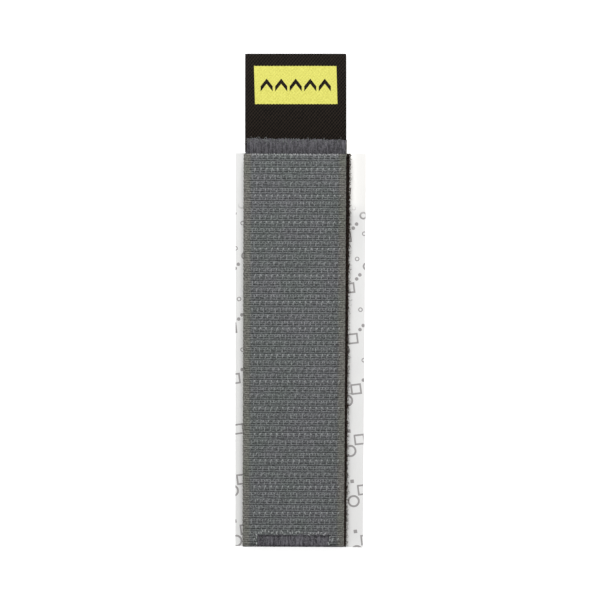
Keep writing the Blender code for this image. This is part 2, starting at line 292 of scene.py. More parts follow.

# %% [markdown]
# ## Nylon for the hook tape
#
# The hook tape is woven from dyed nylon multifilament. Such yarn is a bundle of fine filaments, so it
# shines softly along its length and looks dull across it. A noise that is stretched along the yarn draws
# the bundle; real filaments are 0.02 mm wide, and these are drawn 0.07 mm wide so that they show at all.
# The plain woven edges are a little browner than the field, as they hold other yarn, and the right edge is
# drawn darker as painted shade.

# %% Woven nylon
NYLON_IOR = 1.53
FILAMENT = 0.07


def woven_nylon(name, field_hex, edge_hex, along):
    """Grey multifilament yarn. along is 0 where the yarn runs across the tape, 1 where it runs down it."""
    material, tree, shader = new_material(name)
    coords = add(tree, "TexCoord").outputs["Object"]
    stretch = [FILAMENT, FILAMENT, FILAMENT]
    stretch[along] = 1.6
    filaments = lumps(tree, coords, stretch, 2.0)

    # The edges, by their distance from the tape's middle line
    axes = add(tree, "SeparateXYZ", {"Vector": coords})
    off_middle = add(tree, "Math", {0: axes.outputs["X"]}, operation="ABSOLUTE")
    edge_range = {"Value": off_middle, "From Min": 10.6 * MM, "From Max": 11.3 * MM}
    edge = add(tree, "MapRange", edge_range)
    tones = {"Factor": edge, 6: linear(field_hex), 7: linear(edge_hex)}
    cloth = add(tree, "Mix", tones, data_type="RGBA")

    # Blotches of dye, the filaments themselves, and how tightly each bit of yarn is packed
    for pattern, *stops in (
        (lumps(tree, coords, (7, 6, 7), 3.0), (0.35, "#F5F9F6"), (0.65, "#FEFAFF")),
        (filaments, (0.25, "#C8C8C8"), (0.75, "#FFFFFF")),
        (lumps(tree, coords, (0.4, 0.35, 3), 1.0), (0.3, "#A8A8A8"), (0.7, "#FFFFFF")),
    ):
        ramp = add(tree, "ValToRGB", {"Fac": pattern})
        set_stops(ramp, *stops)
        layers = {"Factor": 1.0, 6: cloth.outputs[2], 7: ramp}
        cloth = add(tree, "Mix", layers, data_type="RGBA", blend_type="MULTIPLY")

    # Painted shade: the right edge is drawn a little darker
    right_shade_range = {"Value": axes.outputs["X"], "From Min": 9.0 * MM, "From Max": 11.5 * MM}
    right_edge_painted_shade = add(tree, "MapRange", {**right_shade_range, "To Min": 1.0, "To Max": 0.9})
    scaled = {0: cloth.outputs[2], "Scale": right_edge_painted_shade}
    shown = add(tree, "VectorMath", scaled, operation="SCALE")
    bump = add(tree, "Bump", {"Height": filaments, "Distance": 0.03 * MM})
    set_inputs(tree, shader, {"Base Color": shown, "Normal": bump})
    # Filaments shade each other's gloss
    set_inputs(tree, shader, {"Roughness": 0.62, "IOR": NYLON_IOR, "Specular IOR Level": 0.3})
    return material


weft_nylon = woven_nylon("woven nylon multifilament, across", "#848888", "#94948B", 0)
warp_nylon = woven_nylon("woven nylon multifilament, along", "#A6A9A9", "#96958F", 1)
# Paler nylon for cut ends and edge threads; on the bent ends at the weld its paleness is a painted highlight
pale_nylon_painted_highlight = woven_nylon("woven nylon ends and edge threads, partly painted highlight", "#C8CACA", "#B0ABA4", 1)
ground_nylon = woven_nylon("woven nylon ground", "#6E7171", "#85857D", 0)

# %% [markdown]
# ## The weave
#
# Seen from its back, hook tape is a rib. Three picks of weft lie together as a group, and in each group one
# warp end in four floats over them, so the floats step through a broken pattern that repeats every four
# groups. One end in four is the stiff monofilament that makes the hooks on the other face, and it shows
# brightest. All of this could be one height map, but the dark slots between picks are what gives the cloth
# its stripes, so the weft is one long thread that runs to and fro and turns at each edge, as on a loom.

# %% Weave plan
GROUP_PITCH = 1.65  # three picks
GROUPS = 59
PICK_PLACES = (0.3, 0.79, 1.375)  # picks below the top of their group: the first two lie as a pair
ROW_LIFT = (0.01, 0.01, -0.035)
ROW_PUSH = (0.0, 0.035, -0.035)  # how far a diving end parts the second pick and the third
COLUMN = 1.4  # from one row of hooks to the next
COLUMNS = 15
FIELD_SHIFT = 0.27  # the hook field sits this far right of the tape's middle
WEFT_HALF_WIDTH = 0.28
WEFT_HALF_HEIGHT = 0.16
WEFT_LEVEL = CREST - 0.08 - WEFT_HALF_HEIGHT
field_left = FIELD_SHIFT - COLUMNS * COLUMN / 2.0
field_right = FIELD_SHIFT + COLUMNS * COLUMN / 2.0

# Where the ends float, as shares of a column, at the top and at the bottom of each group in the repeat
LONG_FLOATS = ((0.56, 0.52), (0.2, 0.1), (0.24, 0.12), (0.82, 0.86))  # over three picks
SHORT_FLOATS = ((0.98, 0.66), (0.64, 0.6), (0.3, 0.54), (0.44, 0.25))  # over two
HOOK_FLOATS = (None, None, (0.38, 0.2), None)  # over one, where the hook is made
DIVES = (0.0, 0.62, 0.1, 0.3)  # where an end goes down between the second pick and the third
print(f"{GROUPS} groups of picks, {COLUMNS} columns, field from {field_left:.2f} to {field_right:.2f} mm")


def smooth_step(low, high, value):
    share = np.clip((value - low) / (high - low), 0.0, 1.0)
    return share * share * (3.0 - 2.0 * share)


def in_patch(x, y):
    """1 inside the weld patch at the tape's lower end, 0 outside it, with soft edges."""
    inside = smooth_step(PAD_WIDTH / 2.0 + 0.25, PAD_WIDTH / 2.0 - 0.25, np.abs(x))
    return inside * (y < PAD_LENGTH - HALF)


def pick_course(x, y, group, pick):
    """Level of a pick's middle, and how far an end that dives beside it pushes it along the tape."""
    in_field = smooth_step(field_left - 0.1, field_left + 0.1, x)
    in_field = in_field * smooth_step(field_right + 0.1, field_right - 0.1, x)
    from_dive = (x - field_left) / COLUMN - DIVES[group % 4]
    from_dive -= np.round(from_dive)
    nearness = in_field * np.exp(-((from_dive / 0.12) ** 2))
    level = WEFT_LEVEL + in_field * ROW_LIFT[pick] - 0.05 * (pick > 0) * nearness - 0.55 * in_patch(x, y)
    return level, ROW_PUSH[pick] * nearness


# %% Weft: one thread, to and fro
TURN = 0.27
WEFT_STEP = COLUMN / 6.0
WEFT_SECTION = (0, 45, 90, 135, 180, 270)  # finer on the side that shows
reach = TAPE_WIDTH / 2.0 - TURN - 0.22
xs = np.linspace(-reach, reach, round(2.0 * reach / WEFT_STEP) + 1)
row_y = [HALF - group * GROUP_PITCH - place for group in range(GROUPS) for place in PICK_PLACES]
route = []
for row, y in enumerate(row_y):
    heading = 1 if row % 2 == 0 else -1
    x = xs * heading
    group, pick = divmod(row, 3)
    wander = 0.03 * np.interp(x, np.linspace(-13.0, 13.0, 34), rng.normal(size=34))
    z, push = pick_course(x, y, group, pick)
    z = z + 0.01 * rng.normal() + 0.018 * rng.normal(size=len(x))
    route += list(zip(x, y + wander + push, z))
    if row + 1 < len(row_y):
        for share, out in ((0.1, 0.7), (0.5, 1.0), (0.9, 0.7)):
            turn_y = y + (row_y[row + 1] - y) * share
            route.append((heading * (reach + out * TURN * rng.uniform(0.85, 1.0)), turn_y, WEFT_LEVEL))
route = np.array(route)

half_way = (len(row_y) // 2) * (len(xs) + 3)
for name, part in (("weft_upper_half", route[:half_way]), ("weft_lower_half", route[half_way - 1 :])):
    weft = tubes(name, part[None], WEFT_HALF_WIDTH, WEFT_HALF_HEIGHT, UP, WEFT_SECTION, strap_frame)
    finish_piece(weft, weft_nylon, "hook_strap")

# %% [markdown]
# ## Floats
#
# In every group one end floats over all three picks, and a second one over the first two before it
# dives. Both cross at a slant, because each end is pulled towards its next float. A float is a short
# arch: it rises in front of the first pick and drops behind the last. Ground ends are soft and flat. The
# hook monofilament is round, stiff and glassy, so it stands prouder and takes a highlight.

# %% Floats over the picks
FLOAT_STEPS = 7
ROUND = (0, 60, 120, 180, 240, 300)


def floats(plan, reach_down, height, keep=1.0):
    """Arches for every column and group. plan has a start and an end for each group of the repeat, and keep
    is the share of the arches that are made."""
    paths = []
    for group in range(GROUPS):
        if plan[group % 4] is None:
            continue
        start, end = plan[group % 4]
        top = HALF - group * GROUP_PITCH - 0.1
        for column in range(-1, COLUMNS + 1):
            x_start = field_left + COLUMN * (column + start) + 0.05 * rng.normal()
            x_end = field_left + COLUMN * (column + end) + 0.05 * rng.normal()
            beyond = max(field_left - x_start, x_start - field_right) > 0.75
            if beyond or in_patch(x_start, top - 1.0) > 0.5 or rng.random() > keep:
                continue
            t = np.linspace(0.0, 1.0, FLOAT_STEPS)
            arch = 1.0 - (2.0 * t - 1.0) ** 4
            bow = 0.05 * rng.normal() * np.sin(math.pi * t)
            level = WEFT_LEVEL + WEFT_HALF_HEIGHT + height + 0.012 * rng.normal()
            x = x_start + (x_end - x_start) * t + bow
            paths.append(xyz(x, top - t * reach_down, level - 0.2 * (1.0 - arch)))
    return np.array(paths)


for name, plan, reach_down in (("long_floats", LONG_FLOATS, 1.56), ("short_floats", SHORT_FLOATS, 0.86)):
    ends = tubes(name, floats(plan, reach_down, 0.0), 0.08, 0.15, ACROSS, ROUND, strap_frame)
    finish_piece(ends, warp_nylon, "hook_strap")

# %% Hook monofilament
monofilament, tree, shader = new_material("drawn nylon monofilament")
# Drawn smooth, then heat-set
set_inputs(tree, shader, {"Base Color": linear("#989B9B"), "Roughness": 0.5, "IOR": NYLON_IOR})

hook_floats = tubes("hook_floats", floats(HOOK_FLOATS, 0.46, 0.02), 0.095, 0.14, ACROSS, ROUND, strap_frame)
finish_piece(hook_floats, monofilament, "hook_strap")

# Below the cloth each loop was heat-set and cut on one side, which leaves a hook
hook_rise = STRAP_UNDER - strap_low.z
profile_y = np.array([0.0, 0.02, 0.05, 0.12, 0.26, 0.4, 0.45, 0.4])
profile_z = np.array([0.25, -0.3, -0.6, -0.9, -1.0, -0.9, -0.68, -0.5]) * (hook_rise - 0.1)
hook_paths = []
for group in range(GROUPS):
    middle = HALF - (group + 0.5) * GROUP_PITCH
    for column in range(COLUMNS):
        x = field_left - FIELD_SHIFT + COLUMN * (column + 0.5)
        if in_patch(x, middle) < 0.5 and abs(middle) < HALF - 0.6:
            turn = 1 if (column + group) % 2 else -1
            y = middle + turn * (profile_y - 0.2) + 0.03 * rng.normal()
            hook_paths.append(xyz(x, y, STRAP_UNDER + profile_z))
hooks = tubes("hooks", np.array(hook_paths), 0.1, 0.1, ACROSS, (45, 135, 225, 315), strap_frame)
finish_piece(hooks, monofilament, "hook_strap")

# %% [markdown]
# ## Edges of the hook tape
#
# A needle loom locks each turn of the weft with a thread that runs along the edge, and that keeps the edge
# straight. At the upper end the warp bends down into the weld. The lower end was cut with heat, which leaves
# a thin dark bead.

# %% Catch threads, bent ends and cut edge
OUTER_THREAD, INNER_THREAD = 12.56, 12.22  # from the tape's middle line
LOOSE_THREAD = 12.72  # the one on the right that runs on past the weld
down = np.linspace(HALF - 0.1, 0.1 - HALF, 420)
sway = 0.03 * np.sin(down / GROUP_PITCH * 2.0 * math.pi)
edge_paths = []
for side in (-1, 1):
    edge_paths.append(xyz(side * OUTER_THREAD + 0.3 * sway, down, WEFT_LEVEL - 0.1 + sway))
    edge_paths.append(xyz(side * INNER_THREAD - sway, down, WEFT_LEVEL - 0.02 - sway))
up_strip = np.linspace(HALF + 3.3, HALF - 0.3, 420)
level = STRAP_UNDER + 0.45 + 0.25 * smooth_step(HALF + 0.1, HALF - 0.3, up_strip)
edge_paths.append(xyz(LOOSE_THREAD, up_strip, level))
catch = tubes("catch_threads", np.array(edge_paths), 0.12, 0.14, ACROSS, ROUND, strap_frame)
finish_piece(catch, pale_nylon_painted_highlight, "hook_strap")

bent_t = np.linspace(0.0, 1.0, 7)
bent_paths = []
for x in np.arange(-11.6, 12.1, 0.36):
    level = WEFT_LEVEL + WEFT_HALF_HEIGHT - 0.03 * rng.random() - 0.3 * bent_t**2
    y = HALF - 0.3 + 0.38 * bent_t + 0.04 * rng.normal()
    bent_paths.append(xyz(x + 0.05 * rng.normal() + 0.04 * rng.normal() * bent_t, y, level))
# The bent ends take the paler nylon: a painted highlight on the step into the weld
bent = tubes("bent_ends", np.array(bent_paths), 0.08, 0.15, ACROSS, ROUND, strap_frame)
finish_piece(bent, pale_nylon_painted_highlight, "hook_strap")

beads = 0.02 * rng.normal(size=(2, 160))
bead = xyz(np.linspace(-12.6, 12.6, 160), 0.05 - HALF + beads[0], WEFT_LEVEL - 0.02 + beads[1])
cut_bead = tubes("cut_edge_bead", bead[None], 0.08, 0.17, UP, ROUND, strap_frame)

# %% [markdown]
# ## Cloth under the threads
#
# The threads need something dark and solid behind them, as the hidden warp is on the real tape. A thin
# closed sheet does that. It lies lower under the weld patch, where the horn pressed it, and higher at the
# plain woven edges, where the ends lie close and hide the gaps between the picks.

# %% Hook tape ground
pad = PAD_WIDTH / 2.0
x, y = grid(
    [-12.5, -11.3, -11.0, -pad, pad, 11.2, 11.5, 12.5],
    [0.1 - HALF, PAD_LENGTH - HALF, PAD_LENGTH - HALF + 0.2, HALF + 0.1],
)
level = np.full_like(x, WEFT_LEVEL - 0.02)
level[:, (0, 1, 6, 7)] = WEFT_LEVEL + 0.08
level[:2, 3:5] = STRAP_UNDER + 0.12
strap_ground = closed_sheet("hook_tape_ground", xyz(x, y, level), xyz(x, y, STRAP_UNDER), strap_frame)
finish_piece(strap_ground, ground_nylon, "hook_strap")

# %% [markdown]
# ## Melted nylon
#
# An ultrasonic horn melts the nylon where it presses. The melt is darker, slightly purple and smoother than
# the weave, and the flattened warp leaves grooves that run along the tape. The upper weld is drawn darker
# towards the weave as painted shade, where its surface dips to the step, so the material takes two places
# along the tape between which it darkens; the lower patch darkens towards its cut end.


# %% Melted nylon
def melted_nylon(name, dark_hex, light_hex, dark_y, light_y):
    """Streaked melt. It keeps its light tone at light_y and darkens towards dark_y, in millimetres; on the
    upper weld the darkening is painted shade.
    """
    material, tree, shader = new_material(name)
    coords = add(tree, "TexCoord").outputs["Object"]
    streaks = lumps(tree, coords, (0.25, 2.5, 1), 2.0)
    speckle = lumps(tree, coords, (0.3, 0.35, 1), 1.0)
    uneven = add(tree, "Mix", {"Factor": 0.4, 2: streaks, 3: speckle})
    melt = add(tree, "ValToRGB", {"Fac": uneven})
    set_stops(melt, (0.4, dark_hex), (0.6, light_hex))
    axes = add(tree, "SeparateXYZ", {"Vector": coords})
    # Painted shade on the upper weld: darker towards the step into the weave
    weld_darkening_range = {"Value": axes.outputs["Y"], "From Min": dark_y * MM, "From Max": light_y * MM, "To Min": 0.55}
    weld_darkening = add(tree, "MapRange", weld_darkening_range)
    shaded = add(tree, "VectorMath", {0: melt, "Scale": weld_darkening}, operation="SCALE")
    flattened = lumps(tree, coords, (0.12, 0.5, 1), 3.0)
    bump = add(tree, "Bump", {"Height": flattened, "Distance": 0.06 * MM})
    set_inputs(tree, shader, {"Base Color": shaded, "Normal": bump})
    set_inputs(tree, shader, {"Roughness": 0.5, "IOR": NYLON_IOR, "Specular IOR Level": 0.3})
    return material


def grooves(x, y, depth, pitch, fan=0.0):
    """Grooves along the tape at an uneven pitch; fan spreads them with y."""
    spread = x * (1.0 + fan * y)
    level = np.zeros_like(x)
    for share, step in ((0.6, pitch), (0.4, pitch / 2.3)):
        knots = np.arange(-16.0, 16.0, step)
        level += share * np.interp(spread, knots, rng.normal(size=len(knots)))
    return depth * level


# %% Weld strip at the upper end
# Painted shade: the strip darkens towards the weave, where its surface dips to the step
strip_melt = melted_nylon("welded hook tape, upper end", "#38373B", "#6A686E", HALF, HALF + 3.0)
strip_under = STRAP_UNDER + 0.05
x, y = grid(np.linspace(-11.95, 12.85, 240), np.linspace(-0.35, STRIP_LENGTH - 0.25, 34))
to_step = 1.0 - np.clip(y / STRIP_LENGTH, 0.0, 1.0)
level = strip_under + 0.33 - 0.12 * to_step + grooves(x, y, 0.05, 0.4) * (0.3 + 0.9 * to_step)
level += 0.02 * rng.normal(size=x.shape)
ragged = 0.1 * np.interp(x[0], np.arange(-13.0, 13.0, 0.35), rng.normal(size=75))
y = y + (ragged - 0.01 * x) * (y / STRIP_LENGTH)
x = x - 0.4 * smooth_step(-11.2, -11.95, x) * smooth_step(0.9, 0.1, y)  # the corner runs under the weave
strip = closed_sheet("weld_strip", xyz(x, y + HALF, level), xyz(x, y + HALF, strip_under), strap_frame)
finish_piece(strip, strip_melt, "hook_strap")

# %% Weld patch at the lower end
patch_melt = melted_nylon("welded hook tape, lower end", "#37353A", "#706E74", -HALF - 2.0, 1.0 - HALF)
patch_floor = STRAP_UNDER + 0.13
x, y = grid(np.linspace(-pad, pad, 190), np.linspace(0.05, PAD_LENGTH + 0.35, 44))
level = CREST - 0.42 + grooves(x, y, 0.07, 0.45, fan=0.03) + 0.03 * rng.normal(size=x.shape)
level += 0.3 * smooth_step(PAD_LENGTH - 0.5, PAD_LENGTH + 0.3, y)
level += 0.25 * smooth_step(pad - 0.5, pad, np.abs(x)) - 0.15 * smooth_step(0.5, 0.05, y)
for _ in range(10):  # pits along the torn edge
    pit_x = rng.uniform(-pad + 0.5, pad - 0.5)
    pit_y = PAD_LENGTH - rng.uniform(0.1, 0.6)
    level -= 0.22 * np.exp(-(((x - pit_x) / 0.28) ** 2) - ((y - pit_y) / 0.22) ** 2)
level = np.maximum(level, patch_floor + 0.02)
patch = closed_sheet("weld_patch", xyz(x, y - HALF, level), xyz(x, y - HALF, patch_floor), strap_frame)
finish_piece(patch, patch_melt, "hook_strap")
finish_piece(cut_bead, patch_melt, "hook_strap")

# %% [markdown]
# ## Frayed ends
#
# Where a weld stops, cut filaments stand up and curl. They are thin and pale against the melt. A curl is a
# short walk that bends steadily one way, which looks like thread; a straight one looks like wire. Real
# filaments are finer than a pixel, so these are drawn at 0.07 mm.


# %% Frayed ends
def curls(starts, length, rise, spread, bend=0.3):
    """Short curling threads from each start point, most of them along the tape."""
    steps = np.arange(9)
    paths = []
    for start in starts:
        angle = math.pi / 2.0 + spread * rng.normal() + rng.normal() * bend * steps
        step = length * rng.uniform(0.5, 1.3) / len(steps)
        x = start[0] + np.cumsum(np.cos(angle)) * step
        y = start[1] + np.cumsum(np.sin(angle)) * step
        z = start[2] + rise * rng.uniform(0.4, 1.0) * np.sin(steps / 8.0 * math.pi)
        paths.append(xyz(x, y, z))
    return np.array(paths)


torn_y = PAD_LENGTH - HALF + 0.33
stubs = [
    (x + 0.12 * rng.normal(), torn_y + 0.18 * rng.normal(), CREST - 0.08)
    for x in np.arange(-pad + 0.3, pad, 0.6)
]
stubs += [
    (side * (pad + 0.2), -HALF + rng.uniform(0.4, 3.0), CREST - 0.1) for side in (-1, 1) for _ in range(3)
]
stub_paths = curls(stubs, 0.75, 0.08, 0.5, bend=0.12)
stub_threads = tubes("torn_floats", stub_paths, 0.16, 0.1, UP, ROUND, strap_frame)
finish_piece(stub_threads, pale_nylon_painted_highlight, "hook_strap")

strip_top_y = HALF + STRIP_LENGTH
hairs = [
    (rng.uniform(-12.2, 12.2), strip_top_y - 0.6 - abs(rng.normal()) * 0.55, strip_under + 0.34)
    for _ in range(150)
]
hairs += [(rng.normal(-8.0, 1.3), strip_top_y - 0.35, strip_under + 0.3) for _ in range(9)]
hairs += [(rng.uniform(-pad, pad), -HALF + rng.uniform(0.6, 3.4), CREST - 0.4) for _ in range(50)]
hair_paths = curls(hairs, 0.75, 0.08, 0.35)
hair_threads = tubes("frayed_filaments", hair_paths, 0.035, 0.035, UP, ROUND, strap_frame)
finish_piece(hair_threads, warp_nylon, "hook_strap")

# %% [markdown]
# ## Black loop tape
#
# Loop tape is brushed: thousands of fine filaments stand up from the cloth as open loops. Only its edges
# show here, past the hook tape, so loops are made one by one along the rim, and a plain core stands for the
# crushed pile that the hooks are caught in. A few loops are broken, and their ends curl out over the liner.
# Dyed black, the nylon reflects about 2% of the light, so what reads as texture is only the sheen on single
# loops. Its filaments are drawn 0.06 mm to 0.1 mm wide, three to five times as coarse as real ones.


# %% Black nylon
def black_nylon(name, hex_colour, roughness, size, gloss):
    """Dyed nylon between this colour and under half of it, in lumps of this size in millimetres."""
    material, tree, shader = new_material(name)
    fuzz = lumps(tree, add(tree, "TexCoord").outputs["Object"], size, 3.0)
    tone = add(tree, "ValToRGB", {"Fac": fuzz})
    set_stops(tone, (0.3, hex_colour), (0.7, hex_colour))
    tone.color_ramp.elements[0].color = (*(0.45 * c for c in linear(hex_colour)[:3]), 1.0)
    bump = add(tree, "Bump", {"Height": fuzz, "Distance": 0.08 * MM})
    set_inputs(tree, shader, {"Base Color": tone, "Normal": bump})
    set_inputs(tree, shader, {"Roughness": roughness, "IOR": NYLON_IOR, "Specular IOR Level": gloss})
    return material


loop_nylon = black_nylon("brushed black nylon loop", "#4A3C33", 0.7, (0.25, 0.25, 0.25), 0.25)
weave_black = black_nylon("woven black nylon ground", "#211C18", 0.75, (0.9, 0.3, 0.3), 0.15)


# %% Loop tape: ground and core
def flat_sheet(name, x_range, y_range, z_range, matrix, steps):
    x, y = grid(np.linspace(*x_range, steps[0]), np.linspace(*y_range, steps[1]))
    return closed_sheet(name, xyz(x, y, z_range[1]), xyz(x, y, z_range[0]), matrix)


half_width = TAPE_WIDTH / 2.0
ground_x, ground_y = (0.06 - half_width, half_width - 0.42), (-HALF, HALF + 0.2)
loop_ground = flat_sheet("loop_tape_ground", ground_x, ground_y, (0.86, GROUND_TOP), base_frame, (10, 40))
finish_piece(loop_ground, weave_black, "loop_base_tape")

core_x, core_y = (0.35 - half_width, half_width - 0.7), (0.35 - HALF, HALF - 0.35)
core_z = (GROUND_TOP - 0.02, strap_low.z + 0.05)
core = flat_sheet("pile_core", core_x, core_y, core_z, base_frame, (10, 40))
finish_piece(core, loop_nylon, "loop_base_tape")

# %% Pile along the rim
THIN = (90, 210, 330)  # three sides are enough for a filament
LOOP_RADIUS = 0.05
STRAY_RADIUS = 0.028


def loops(points, height):
    """A standing loop at each point: an arch in an upright plane of any heading, a little tipped."""
    steps = np.linspace(0.0, 1.0, 7)
    rise = np.sin(steps * math.pi) ** 0.6
    paths, refs = [], []
    for x, y in points:
        heading = rng.uniform(0.0, 2.0 * math.pi)
        out = np.array([math.cos(heading), math.sin(heading), 0.0])
        sweep = (steps - 0.5) * 2.0 * rng.uniform(0.12, 0.3) * (0.6 + 0.8 * np.sin(steps * math.pi))
        path = np.outer(sweep, out) + (x, y, GROUND_TOP - 0.05)
        path[:, :2] += rise[:, None] * rng.normal(size=2) * 0.1
        path[:, 2] += height * rng.uniform(0.72, 1.0) * rise
        paths.append(path)
        refs.append((-out[1], out[0], 0.0))
    return np.array(paths), np.array(refs)


def scatter(count, x_range, y_range):
    return np.stack([rng.uniform(*x_range, count), rng.uniform(*y_range, count)], -1)


right_rim = np.concatenate([
    scatter(3000, (half_width - 1.65, half_width - 0.5), (-HALF, HALF + 0.15)),
    scatter(500, (half_width - 0.8, half_width - 0.45), (-HALF, HALF + 0.15)),
])
right_rim[:, 0] += 0.045 * np.interp(right_rim[:, 1], np.arange(-50.0, 50.0, 0.8), rng.normal(size=125))
# The brushed edge bulges towards the upper end and a little near the lower end
BULGE_PLACES = (-49.0, -42.0, -37.0, -24.0, -15.0, 5.0, 14.0, 22.0, 31.0, 38.0, 43.0, 49.0)
BULGES = (-0.05, -0.05, 0.05, 0.05, -0.02, -0.04, 0.01, 0.12, 0.24, 0.3, 0.36, 0.36)
right_rim[:, 0] += np.interp(right_rim[:, 1], BULGE_PLACES, BULGES)
rim = np.concatenate([
    right_rim,
    scatter(700, (-half_width + 0.1, -half_width + 0.8), (-HALF, HALF)),
    scatter(350, (-half_width, half_width - 0.5), (HALF - 0.7, HALF - 0.1)),
    scatter(350, (-half_width, half_width - 0.5), (-HALF + 0.1, -HALF + 0.7)),
])
loop_paths, loop_refs = loops(rim, base_high.z - GROUND_TOP)
pile = tubes("loop_pile", loop_paths, LOOP_RADIUS, LOOP_RADIUS, loop_refs, THIN, base_frame)
finish_piece(pile, loop_nylon, "loop_base_tape")

# Broken loops that stick out past the edges, more of them towards the lower end
stray = []
steps = np.linspace(0.0, 1.0, 9)
for side, count in ((1, 460), (-1, 120)):
    for y in HALF - 1.5 - (CUT_LENGTH - 1.8) * rng.uniform(0.0, 1.0, count) ** 0.7:
        reach_out = 0.1 + 0.3 * abs(rng.normal())
        sway = rng.normal() * 0.35
        curl_out = np.sin(steps * math.pi * rng.uniform(0.55, 0.95))
        path_x = side * (half_width - 0.6 + (reach_out + 0.2) * curl_out)
        path_y = y + sway * steps + 0.16 * rng.normal() * np.sin(steps * 6.0)
        path_z = rng.uniform(1.6, 2.5) + rng.uniform(-0.9, 0.1) * steps
        stray.append(xyz(path_x, path_y, path_z))
strays = tubes("stray_filaments", np.array(stray), STRAY_RADIUS, STRAY_RADIUS, UP, THIN, base_frame)
finish_piece(strays, loop_nylon, "loop_base_tape")

# %% [markdown]
# ## Adhesive and liner
#
# The adhesive is a clear acrylic film with an amber cast, and it shows only at its cut edge. The liner
# is paper-thin film with a silicone face, so it is white, smooth and a little glossy, and it never lies quite
# flat. Its upper corner, where it stands off the table, is painted whiter and glows a little: painted light
# that lifts the shade beside the tape. Its print is a generic pattern of rings, squares and dots, laid out
# aslant as such liners have it. It is drawn by the shader from the sheet's own coordinates, so that it is
# crisp at any distance.

# %% Acrylic adhesive
acrylic, tree, shader = new_material("acrylic pressure-sensitive adhesive")
coords = add(tree, "TexCoord").outputs["Object"]
amber = add(tree, "ValToRGB", {"Fac": lumps(tree, coords, (1.5, 1.5, 0.4), 2.0)})
set_stops(amber, (0.0, "#A8A286"), (1.0, "#CFCBB6"))
set_inputs(tree, shader, {"Base Color": amber, "Roughness": 0.25, "IOR": 1.47})
film_x = (-half_width, half_width - 0.6)
adhesive = flat_sheet("adhesive_layer", film_x, (-HALF, HALF), (0.2, 0.84), base_frame, (3, 3))
finish_piece(adhesive, acrylic, "adhesive_film")

# %% Silicone release film with a generic print
PRINT_CELL = (15.0, 8.5)  # millimetres between motifs, along the print's lines and across them
LINE_STAGGER = 0.37  # each line starts this share of a cell further along than the last
PRINT_START = 2.2
release_film, tree, shader = new_material("silicone-coated release film")
coords = add(tree, "TexCoord").outputs["Object"]
slant = add(
    tree,
    "Mapping",
    {
        "Vector": coords,
        "Rotation": (0.0, 0.0, math.radians(-52.0)),
        "Scale": (1.0 / MM, 1.0 / MM, 1.0 / MM),
    },
)
turned = add(tree, "SeparateXYZ", {"Vector": slant})
lines = add(tree, "Math", {0: turned.outputs["Y"], 1: PRINT_CELL[1]}, operation="DIVIDE")
line = add(tree, "Math", {0: lines}, operation="FLOOR")
stagger = {0: line, 1: LINE_STAGGER * PRINT_CELL[0], 2: PRINT_START}
offset = add(tree, "Math", stagger, operation="MULTIPLY_ADD")
along = add(tree, "Math", {0: turned.outputs["X"], 1: offset}, operation="ADD")
cell_u = add(tree, "Math", {0: along, 1: PRINT_CELL[0]}, operation="FLOORED_MODULO")
cell_v = add(tree, "Math", {0: turned.outputs["Y"], 1: PRINT_CELL[1]}, operation="FLOORED_MODULO")


def motif(kind, centre_u, centre_v, size, half_stroke):
    """Ink, 0 or 1, as a ring or a square on its corner; with half a stroke as wide as its size it is full."""
    u = add(tree, "Math", {0: cell_u, 1: centre_u}, operation="SUBTRACT")
    v = add(tree, "Math", {0: cell_v, 1: centre_v}, operation="SUBTRACT")
    if kind == "ring":
        at = add(tree, "CombineXYZ", {"X": u, "Y": v})
        reach = add(tree, "VectorMath", {0: at}, operation="LENGTH").outputs["Value"]
    else:
        u = add(tree, "Math", {0: u}, operation="ABSOLUTE")
        v = add(tree, "Math", {0: v}, operation="ABSOLUTE")
        reach = add(tree, "Math", {0: u, 1: v}, operation="ADD")
    return add(tree, "Math", {0: reach, 1: size, 2: half_stroke}, operation="COMPARE")


shapes = (
    ("ring", 2.3, 4.2, 1.3, 0.24),
    ("square", 6.0, 4.2, 1.6, 0.3),
    ("ring", 8.9, 4.2, 0.22, 0.22),
    ("ring", 10.2, 4.2, 0.22, 0.22),
    ("ring", 12.9, 4.2, 0.75, 0.22),
    ("ring", 12.9, 7.2, 0.45, 0.12),
    ("square", 6.0, 7.6, 0.3, 0.32),
    ("ring", 9.5, 1.2, 0.45, 0.12),
)
ink = motif(*shapes[0])
for shape in shapes[1:]:
    ink = add(tree, "Math", {0: ink, 1: motif(*shape)}, operation="MAXIMUM")

# %% Film, its bare upper end and the painted light in its corner
film = add(tree, "ValToRGB", {"Fac": lumps(tree, coords, (6, 9, 1), 3.0)})
set_stops(film, (0.0, "#F2F2F1"), (1.0, "#FBFBFA"))
axes = add(tree, "SeparateXYZ", {"Vector": coords})
# Painted light: the upper right corner is drawn whiter
right = add(tree, "MapRange", {"Value": axes.outputs["X"], "From Min": 20.0 * MM, "From Max": 26.0 * MM})
upper_end = add(tree, "MapRange", {"Value": axes.outputs["Y"], "From Min": 33.5 * MM, "From Max": 37.0 * MM})
corner = add(tree, "Math", {0: right, 1: upper_end}, operation="MULTIPLY")
whites = {"Factor": corner, 6: film, 7: linear("#FCFBF8")}
corner_painted_whiter = add(tree, "Mix", whites, data_type="RGBA")
bare = add(tree, "Math", {0: 1.0, 1: upper_end}, operation="SUBTRACT")
inked = add(tree, "Math", {0: ink, 1: bare}, operation="MULTIPLY")
inks = {"Factor": inked, 6: corner_painted_whiter.outputs[2], 7: linear("#A9A6A6")}
printed = add(tree, "Mix", inks, data_type="RGBA")
set_inputs(tree, shader, {"Base Color": printed.outputs[2], "Roughness": 0.32, "IOR": 1.45})

